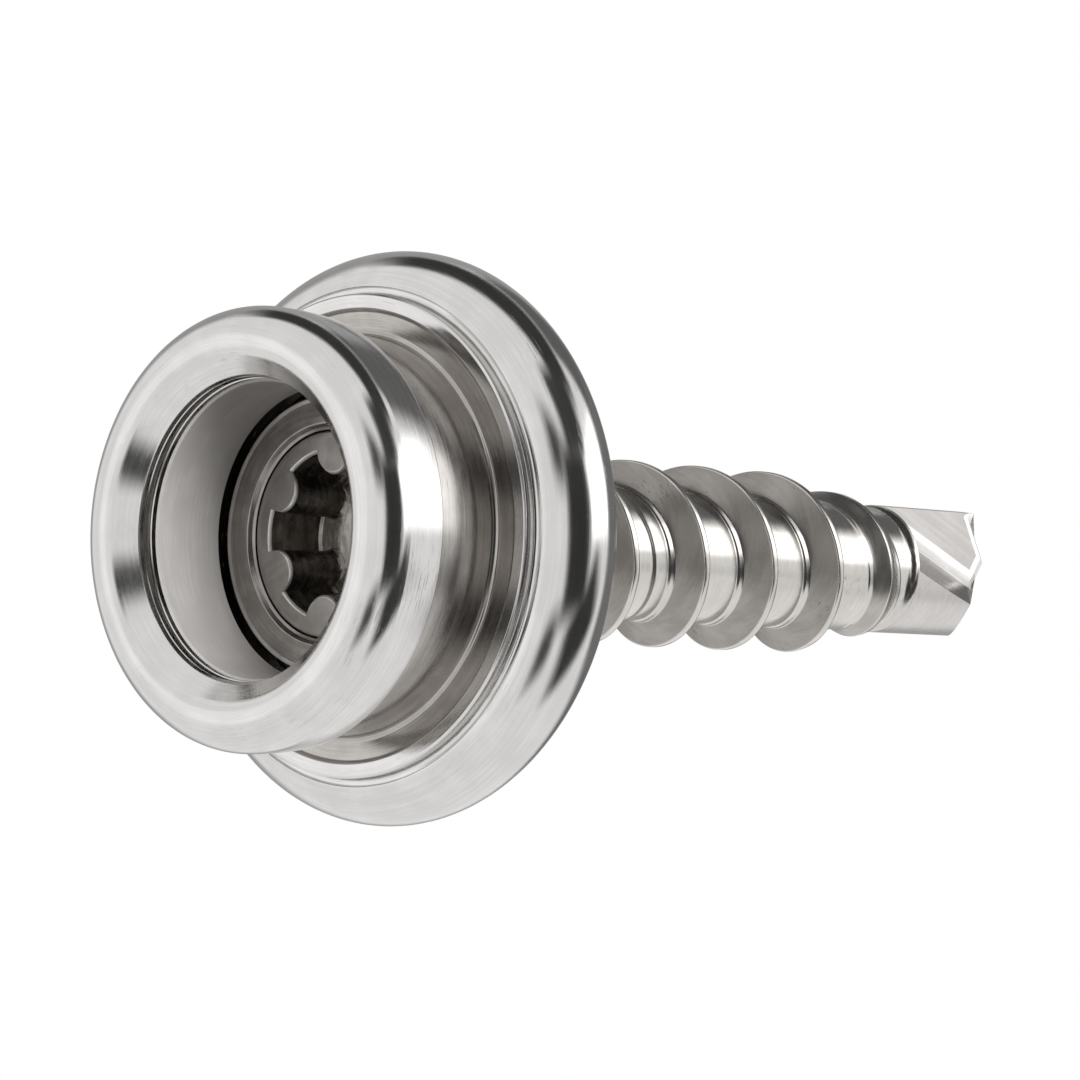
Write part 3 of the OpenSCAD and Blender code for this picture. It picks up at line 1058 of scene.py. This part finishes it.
        # The last root dips, then rises to the drill point's rod
        rod = self.rod_r - self.sink
        last_rise = eased(held, high - 0.3, high - 0.04)
        groove = self.last_dip * (eased(held, high - 1.7, high - 0.9) - last_rise)
        root = self.root_r + shoulder - groove + (rod - self.root_r) * last_rise
        radius = root + (self.crest_r - self.root_r - shoulder) * tall * share
        angle = 2 * np.pi * column / columns
        points = np.stack([radius * np.cos(angle), radius * np.sin(angle), held], axis=2)
        rows = per_turn * turns
        index = np.arange(columns * rows).reshape(columns, rows)
        raised = np.minimum(index[0] + per_turn, rows - 1)
        ahead = np.vstack([index[1:], raised[None, :]])
        a, b = index[:, :-1].ravel(), ahead[:, :-1].ravel()
        c, d = ahead[:, 1:].ravel(), index[:, 1:].ravel()
        triangles = np.concatenate([np.stack([a, b, c], 1), np.stack([a, c, d], 1)])
        # Share of flank at each point, where the finish paints shade and adds roughness.
        flank_share = ((tall > 0.08) & (tall < 0.95)) * np.minimum(share * 1.5, 1)
        body = Surface(points.reshape(-1, 3), triangles, np.zeros((len(triangles), 3, 2)),
                       np.zeros(len(triangles), int),
                       {"along": held.ravel(), "flank": flank_share.ravel()})
        circle = np.concatenate([np.cos(angle), np.sin(angle)], axis=1)
        ends = [fan_surface(np.column_stack([circle * end_r, np.full(columns, z)]),
                            np.array([0, 0, z]))
                for end_r, z in ((self.root_r + self.first_step, low), (rod, high))]
        return joined([body, *ends])

    def point_base(self) -> float:
        """Find where the drill point starts: where the foot of the flute's flat enters the rod.

        Returns:
            The height.
        """
        slant = math.radians(self.slant_deg)
        foot = self.foot_r * math.tan(math.radians(self.wall_deg) / 2)
        half_chord = math.sqrt(self.rod_r ** 2 - self.web ** 2 / 4)
        enter = (foot * math.cos(slant) - half_chord) / math.sin(slant)
        return self.tip_z - self.cross + foot * math.sin(slant) + enter * math.cos(slant)

    def point(self) -> Surface:
        """The drill point: a rod with two slanted flutes, bevelled lips and a roof-shaped tip.

        In the direction of a flute, lines of its flat, its round foot and its wall run from where
        they enter the rod, or from its base, to where they leave it or meet the roof. Near the roof
        the flat's lines drop along the lip's bevel. The land between runs from the base up to the
        nearer of the flute's edge and the roof. A fan from the tip closes the roof, and one closes
        the base.

        Returns:
            The closed surface.
        """
        slant, wall = math.radians(self.slant_deg), math.radians(self.wall_deg)
        cos_s, sin_s = math.cos(slant), math.sin(slant)
        slope, chisel = math.tan(math.radians(self.slope_deg)), math.radians(self.chisel_deg)
        cos_c, sin_c = math.cos(chisel), math.sin(chisel)
        rod, v0 = self.rod_r, self.web / 2
        base, cross_z = self.point_base(), self.tip_z - self.cross
        foot = self.foot_r * math.tan(wall / 2)
        foot_rise = self.foot_r * (1 - math.cos(wall))
        hair = 1e-9

        def roof(u: np.ndarray, v: np.ndarray) -> np.ndarray:
            """Height of the roof over a point across the rod."""
            return self.tip_z - slope * np.abs(u * cos_c + v * sin_c)

        def edge(v: np.ndarray) -> np.ndarray:
            """Find the flute's surface: the arc of its round foot, then its straight wall.

            Args:
                v: Heights across the rod.

            Returns:
                The surface's place across the slant at each height.
            """
            rise = np.clip((v - v0) / self.foot_r, 0, 1 - math.cos(wall))
            arc = foot - self.foot_r * np.sin(np.arccos(1 - rise))
            return np.where(v - v0 < foot_rise, arc, -(v - v0) / math.tan(wall))

        def rod_run(t: np.ndarray, v: np.ndarray, sign: int) -> np.ndarray:
            """Run of a flute's line at which it enters the rod, sign -1, or leaves it, sign 1."""
            return (t * cos_s + sign * np.sqrt(np.maximum(rod ** 2 - v ** 2, 0))) / sin_s

        def tops(t: np.ndarray, v: np.ndarray) -> np.ndarray:
            """Find where a flute's line meets the nearer of the roof's two slopes.

            Args:
                t: Place of each line across the slant.
                v: Height of each line across the rod.

            Returns:
                The run of each line up to there.
            """
            lift, lean = cross_z + t * sin_s - self.tip_z, slope * (t * cos_s * cos_c + v * sin_c)
            return np.minimum(*(-(lift + sign * lean) / (cos_s - sign * slope * sin_s * cos_c)
                                for sign in (1, -1)))

        def floors(t: np.ndarray) -> np.ndarray:
            """Run of a flute's line at the height of the base."""
            return (base - cross_z - t * sin_s) / cos_s

        def crossing(high_first: np.ndarray, heights: np.ndarray) -> float:
            """Find where a sampled difference changes its sign, on a line between two samples.

            Args:
                high_first: The difference at each height, positive at first.
                heights: The heights.

            Returns:
                The height.
            """
            k = int(np.argmax(high_first < 0))
            part = high_first[k - 1] / (high_first[k - 1] - high_first[k])
            return float(heights[k - 1] + part * (heights[k] - heights[k - 1]))

        # Heights over the flat, with those at which the wall's end passes from the roof to the rod
        # and its start passes from the base to the rod
        fine = np.linspace(v0, rod, 200001)[1:-1]
        t_fine = edge(fine)
        passing = crossing(rod_run(t_fine, fine, 1) - tops(t_fine, fine), fine)
        lifting = crossing(floors(t_fine) - rod_run(t_fine, fine, -1), fine)
        knee = v0 + foot_rise
        heights = np.unique(np.concatenate([
            v0 + self.foot_r * (1 - np.cos(np.linspace(0, wall, 13))),
            rod * np.sin(np.linspace(math.asin(knee / rod), np.pi / 2, 25)), [passing, lifting],
        ]).round(9))

        # The flat's lines, from the lip's outer corner over the chisel's ridge to the foot
        rim_u = math.sqrt(rod ** 2 - v0 ** 2)
        corner_t = rim_u * cos_s + (float(roof(np.array(rim_u), np.array(v0))) - cross_z) * sin_s
        ridge_u = (v0 - self.bevel_drop) / math.tan(chisel - np.pi / 2)
        ridge_t = ridge_u * cos_s + self.cross * sin_s
        flat_t = np.sort(np.append(np.linspace(foot, corner_t, 18), ridge_t))[::-1]
        flats = len(flat_t)
        across = np.concatenate([flat_t, edge(heights[1:])])
        over = np.concatenate([np.full(flats, v0), heights[1:]])

        # Runs along the lines: up to the lip, over the lip, down its bevel
        full_drop = np.clip((corner_t - across) / 0.25, 0, 1) * (1 - eased(over, v0, knee))
        drop = self.bevel_drop * full_drop
        enter, leave = (rod_run(across, over, sign) for sign in (-1, 1))
        top = tops(across, over - drop)
        start = np.where(np.arange(len(over)) < flats, enter, np.maximum(enter, floors(across)))
        last = np.maximum(np.minimum(leave, top), start)
        turn_over = last - np.minimum(self.bevel_run * np.sign(drop) + hair, last - start)
        brink = turn_over - np.minimum(self.lip_w, 0.5 * (turn_over - start))
        share, part = np.linspace(0, 1, 20), np.array([1 / 3, 2 / 3, 1.0])
        run = np.concatenate([start[:, None] + (brink - start)[:, None] * share,
                              turn_over[:, None],
                              turn_over[:, None] + (last - turn_over)[:, None] * part], axis=1)
        v = over[:, None] - drop[:, None] * np.concatenate([0 * share, [0.0], part])
        u = across[:, None] * cos_s - run * sin_s
        z = cross_z + across[:, None] * sin_s + run * cos_s
        flute = np.stack([-u, -v, z], axis=2)

        # The land of one half: columns where the flute's lines meet the rod, then up to the next
        # flat. Its last column has the points at which the other flute's flat starts.
        near, brim = np.arcsin(np.clip(heights / rod, -1, 1)), math.asin(v0 / rod)
        rest = np.linspace(np.pi - brim, np.pi + brim, 8)[1:]
        turn = np.concatenate([near, np.pi - near[-2::-1], rest])
        lu, lv = rod * np.cos(turn), rod * np.sin(turn)
        cut, ceiling = cross_z + (edge(lv) - lu * cos_s) / sin_s, roof(lu, lv)
        beside = turn < np.pi - brim + hair
        stop = np.maximum(np.where(beside, np.minimum(cut, ceiling), ceiling), base)
        flat_z = flute[flats - 1::-1, 0, 2]
        levels = (flat_z - flat_z[0]) / (flat_z[-1] - flat_z[0])
        rise = base + (stop - base)[:, None] * levels
        land = np.stack([np.repeat(-lu[:, None], len(levels), 1),
                         np.repeat(-lv[:, None], len(levels), 1), rise], axis=2)

        # The roof's edge: the flat's, foot's and wall's ends that meet it, then the land's
        on_roof = top <= leave + 1e-6
        land_on = (turn > np.pi / 2) & (ceiling <= cut + 1e-6) | (turn > np.pi - brim)
        rim = np.concatenate([flute[on_roof, -1], land[land_on, -1]])
        floor_half = land[:, 0].copy()
        sunk = np.arange(len(heights))[cut[:len(heights)] < base - hair]
        floor_half[sunk] = flute[flats - 1 + sunk, 0]

        row, lip = np.arange(len(flute)) - flats + 1, len(share) - 1
        # The lips' bevels and the flutes' round feet get painted highlights.
        zones = np.where((row >= 0) & (over < knee - 1e-6), PointZone.FOOT, PointZone.FLUTE)
        lips = np.where(row < 0, PointZone.LIP, zones)
        marks = np.repeat(across[:, None], flute.shape[1], 1)
        half_turn = np.array([-1.0, -1.0, 1.0])
        halves = []
        for turned in (np.ones(3), half_turn):
            for grid, slots, along in ((flute[:, :lip + 1], zones, marks[:, :lip + 1]),
                                       (flute[:, lip:], lips, marks[:, lip:]),
                                       (land, PointZone.LAND, land[:, :, 2])):
                halves.append(grid_surface(grid * turned, np.linspace(0, 3, len(grid)), False,
                                           slots, {"along": along}))
        return joined([
            *halves,
            fan_surface(np.concatenate([rim, rim * half_turn]), np.array([0, 0, self.tip_z]),
                        PointZone.FLUTE),
            fan_surface(np.concatenate([floor_half, floor_half * half_turn]),
                        np.array([0, 0, base])),
        ])

    def build(self, effects: SurfaceEffects) -> list[bpy.types.Object]:
        """Make the screw's head, thread and point, and dress them.

        Args:
            effects: The shared node groups.

        Returns:
            The new pieces.
        """
        head = make_piece("screw_head", self.head(), dressed(HEAD_FINISHES, effects), "screw")
        thread = make_piece("screw_thread", self.thread(), dressed(THREAD_FINISHES, effects),
                            "screw", 40.0)
        point = make_piece("screw_point", self.point(), dressed(POINT_FINISHES, effects), "screw",
                           20.0)
        return [head, thread, point]


@dataclass(frozen=True)
class ViewPoint:
    """The photograph's viewing angle.

    Attributes:
        axis_deg: Angle between the stud's axis and the line of sight.
        roll_deg: Tilt of the axis in the picture.
        distance: From the aim to the lens, in millimetres.
        aim: Point that the lens looks at, in millimetres.
        lens: Focal length for a 36 mm frame, in millimetres.
    """

    axis_deg: float = 43.04
    roll_deg: float = 3.7
    distance: float = 111.4
    aim: tuple[float, float, float] = (-0.19, 0.0, 10.63)
    lens: float = 150.0

    def axes(self) -> Matrix:
        """Right, up and towards the viewer in the object's frame, as columns.

        Returns:
            The 3 by 3 matrix.
        """
        a, r = math.radians(self.axis_deg), math.radians(self.roll_deg)
        toward = Vector((0.0, -math.sin(a), -math.cos(a)))
        up = Vector((-math.cos(r), math.cos(a) * math.sin(r), -math.sin(a) * math.sin(r)))
        right = up.cross(toward)
        return Matrix((right, up, toward)).transposed()


@dataclass(frozen=True)
class Panel:
    """A flat panel of the studio, placed as the viewer sees it.

    Attributes:
        name: Name of the panel.
        way: Direction from the object: right, up and towards the viewer.
        size: Width and height, in millimetres.
        level: Radiance, where white is 1.
        card: Whether it is a card that only reflections see, instead of a lamp.
        dark: How far a card hides the white behind it.
        roll_deg: Turn of the panel in its own plane.
        soft: Share of a dark card's half width over which its edge fades.
        distance: From the object, in millimetres.
    """

    name: str
    way: tuple[float, float, float]
    size: tuple[float, float]
    level: float
    card: bool = True
    dark: float = 1.0
    roll_deg: float = 0.0
    soft: float = 0.16
    distance: float = 300.0


@dataclass
class Studio:
    """Camera, white surroundings, light panels, dark cards and floor."""

    view: ViewPoint = field(default_factory=ViewPoint)
    panels: tuple[Panel, ...] = (
        Panel("mouth_lamp", (0.4, 0.36, 0.84), (90.0, 90.0), 42.0, card=False),
        Panel("side_lamp", (0.93, 0.285, 0.08), (320.0, 185.0), 1.7, card=False),
        Panel("left_lamp", (-0.96, 0.02, 0.28), (300.0, 240.0), 1.2, card=False),
        Panel("side_panel", (0.93, 0.285, 0.08), (350.0, 215.0), 2.2, soft=0.4),
        Panel("left_panel", (-0.96, 0.02, 0.28), (340.0, 300.0), 1.2, soft=0.5),
        Panel("overhead_card", (0.138, 0.968, -0.207), (680.0, 250.0), 0.05, roll_deg=-5.7,
              soft=0.45),
        Panel("front_card", (0.5, 0.08, 0.86), (380.0, 440.0), 0.045, soft=0.45),
        Panel("shoulder_card", (0.47, 0.72, 0.5), (300.0, 240.0), 0.06, soft=0.5),
        Panel("corner_card", (0.5, 0.62, -0.6), (270.0, 270.0), 0.15, soft=0.5),
        Panel("high_card", (-0.16, 0.47, 0.87), (240.0, 180.0), 0.08, soft=0.85),
        Panel("tripod_card", (-0.16, -0.46, 0.87), (240.0, 180.0), 0.08, soft=0.85),
        Panel("low_card", (0.77, -0.49, 0.4), (480.0, 250.0), 0.05, roll_deg=35.5, soft=0.6),
        Panel("right_card", (0.66, -0.05, -0.75), (420.0, 420.0), 0.16, dark=0.95, soft=0.5),
        Panel("back_card", (-0.1, 0.2, -0.97), (700.0, 700.0), 0.4, soft=0.5, distance=330.0),
    )
    centre: tuple[float, float, float] = (0.0, 0.0, 8.0)

    def place(self, item: bpy.types.Object, panel: Panel) -> None:
        """Put an object at a panel's place, with its local -Z towards the object.

        Args:
            item: The object to place.
            panel: The panel that says where.
        """
        axes = self.view.axes()
        way = (axes @ Vector(panel.way)).normalized()
        level = axes.col[1] - way * axes.col[1].dot(way)
        if level.length < 0.2:
            level = -axes.col[2] + way * axes.col[2].dot(way)
        up = level.normalized()
        side = up.cross(way)
        turn = Matrix((side, up, way)).transposed().to_4x4() @ Matrix.Rotation(
            math.radians(panel.roll_deg), 4, "Z")
        spot = Vector(self.centre) * MM + way * panel.distance * MM
        item.matrix_world = Matrix.Translation(spot) @ turn

    def add_panel(self, panel: Panel) -> None:
        """Make a panel: an area lamp for matt surfaces, or a card that reflections see.

        Args:
            panel: The panel to make.
        """
        width, height = (side * MM for side in panel.size)
        if not panel.card:
            lamp = bpy.data.lights.new(panel.name, "AREA")
            lamp.shape = "RECTANGLE"
            lamp.size, lamp.size_y = width, height
            lamp.energy = panel.level * math.pi * width * height
            item = bpy.data.objects.new(panel.name, lamp)
            item.visible_glossy = False
        else:
            mesh = bpy.data.meshes.new(panel.name)
            x, y = width / 2, height / 2
            mesh.from_pydata([(-x, -y, 0), (x, -y, 0), (x, y, 0), (-x, y, 0)], [], [(3, 2, 1, 0)])
            mesh.uv_layers.new(name="card").data.foreach_set("uv", [-1, 1, 1, 1, 1, -1, -1, -1])
            mesh.materials.append(self.card_material(panel))
            item = bpy.data.objects.new(panel.name, mesh)
            item.visible_camera = item.visible_diffuse = item.visible_shadow = False
        bpy.context.scene.collection.objects.link(item)
        self.place(item, panel)

    @staticmethod
    def card_material(panel: Panel) -> bpy.types.Material:
        """An even grey or white that fades to clear at the card's edges.

        Args:
            panel: The card.

        Returns:
            The material.
        """
        material, w = new_material(panel.name)
        place = w.add("ShaderNodeSeparateXYZ",
                      Vector=w.add("ShaderNodeUVMap", {"uv_map": "card"}).outputs[0]).outputs
        across, upward = (w.ramp(w.maths("ABSOLUTE", place[index]), 1.0 - panel.soft, 1.0, 1.0, 0.0)
                          for index in (0, 1))
        shown = w.maths("MULTIPLY", w.maths("MULTIPLY", across, upward), panel.dark)
        clear = w.add("ShaderNodeBsdfTransparent").outputs[0]
        even = w.add("ShaderNodeEmission", Color=WHITE, Strength=panel.level).outputs[0]
        w.add("ShaderNodeOutputMaterial", Surface=w.shaded(shown, clear, even))
        return material

    @staticmethod
    def white_surroundings() -> None:
        """Set a world that is white where it is seen and a softer light elsewhere."""
        world = bpy.data.worlds.new("white_studio")
        world.use_nodes = True
        bpy.context.scene.world = world
        w = Wiring(world.node_tree)
        rays = w.add("ShaderNodeLightPath").outputs
        seen = w.maths("MAXIMUM", rays["Is Transmission Ray"],
                       w.maths("MAXIMUM", rays["Is Camera Ray"], rays["Is Glossy Ray"]))
        soft, white = (w.add("ShaderNodeBackground", Color=WHITE, Strength=strength).outputs[0]
                       for strength in (0.6, 1.0))
        w.add("ShaderNodeOutputWorld", Surface=w.shaded(seen, soft, white))

    @staticmethod
    def floor() -> None:
        """Lay a pale floor that takes the shadow, fades into the white and is open from below."""
        material, w = new_material("pale_floor")
        far = w.vector("LENGTH", w.place_mm()).outputs["Value"]
        faded = w.maths("MULTIPLY", w.ramp(far, 25.0, 90.0),
                        w.add("ShaderNodeLightPath").outputs["Is Camera Ray"])
        pale = w.add("ShaderNodeBsdfDiffuse", Color=(0.9, 0.9, 0.9, 1.0)).outputs[0]
        white = w.add("ShaderNodeEmission", Color=WHITE, Strength=1.0).outputs[0]
        below = w.add("ShaderNodeNewGeometry").outputs["Backfacing"]
        clear = w.add("ShaderNodeBsdfTransparent").outputs[0]
        w.add("ShaderNodeOutputMaterial",
              Surface=w.shaded(below, w.shaded(faded, pale, white), clear))
        mesh = bpy.data.meshes.new("floor")
        side = 0.6
        mesh.from_pydata([(-side, -side, 0), (side, -side, 0), (side, side, 0), (-side, side, 0)],
                         [], [(0, 1, 2, 3)])
        mesh.materials.append(material)
        item = bpy.data.objects.new("floor", mesh)
        item.visible_glossy = item.visible_shadow = False
        bpy.context.scene.collection.objects.link(item)

    def camera(self) -> None:
        """Make the camera at the photograph's viewing angle."""
        data = bpy.data.cameras.new("camera")
        data.lens, data.sensor_width = self.view.lens, 36.0
        data.clip_start, data.clip_end = 0.005, 5.0
        camera = bpy.data.objects.new("camera", data)
        axes = self.view.axes()
        spot = Vector(self.view.aim) * MM + axes.col[2] * self.view.distance * MM
        camera.matrix_world = Matrix.Translation(spot) @ axes.to_4x4()
        bpy.context.scene.collection.objects.link(camera)
        bpy.context.scene.camera = camera

    def build(self) -> None:
        """Set up the whole studio."""
        bpy.context.scene.view_settings.view_transform = "Standard"
        self.white_surroundings()
        self.floor()
        for panel in self.panels:
            self.add_panel(panel)
        self.camera()


def main() -> None:
    """Build the studio and the pieces."""
    logging.basicConfig(level=logging.INFO, format="%(name)s %(message)s")
    Studio().build()
    effects = SurfaceEffects()
    pieces = [*TurnedStud().build(effects), *DrillScrew().build(effects)]
    LOG.info("%d pieces", len(pieces))
    bpy.context.view_layer.update()


if __name__ == "__main__":
    main()
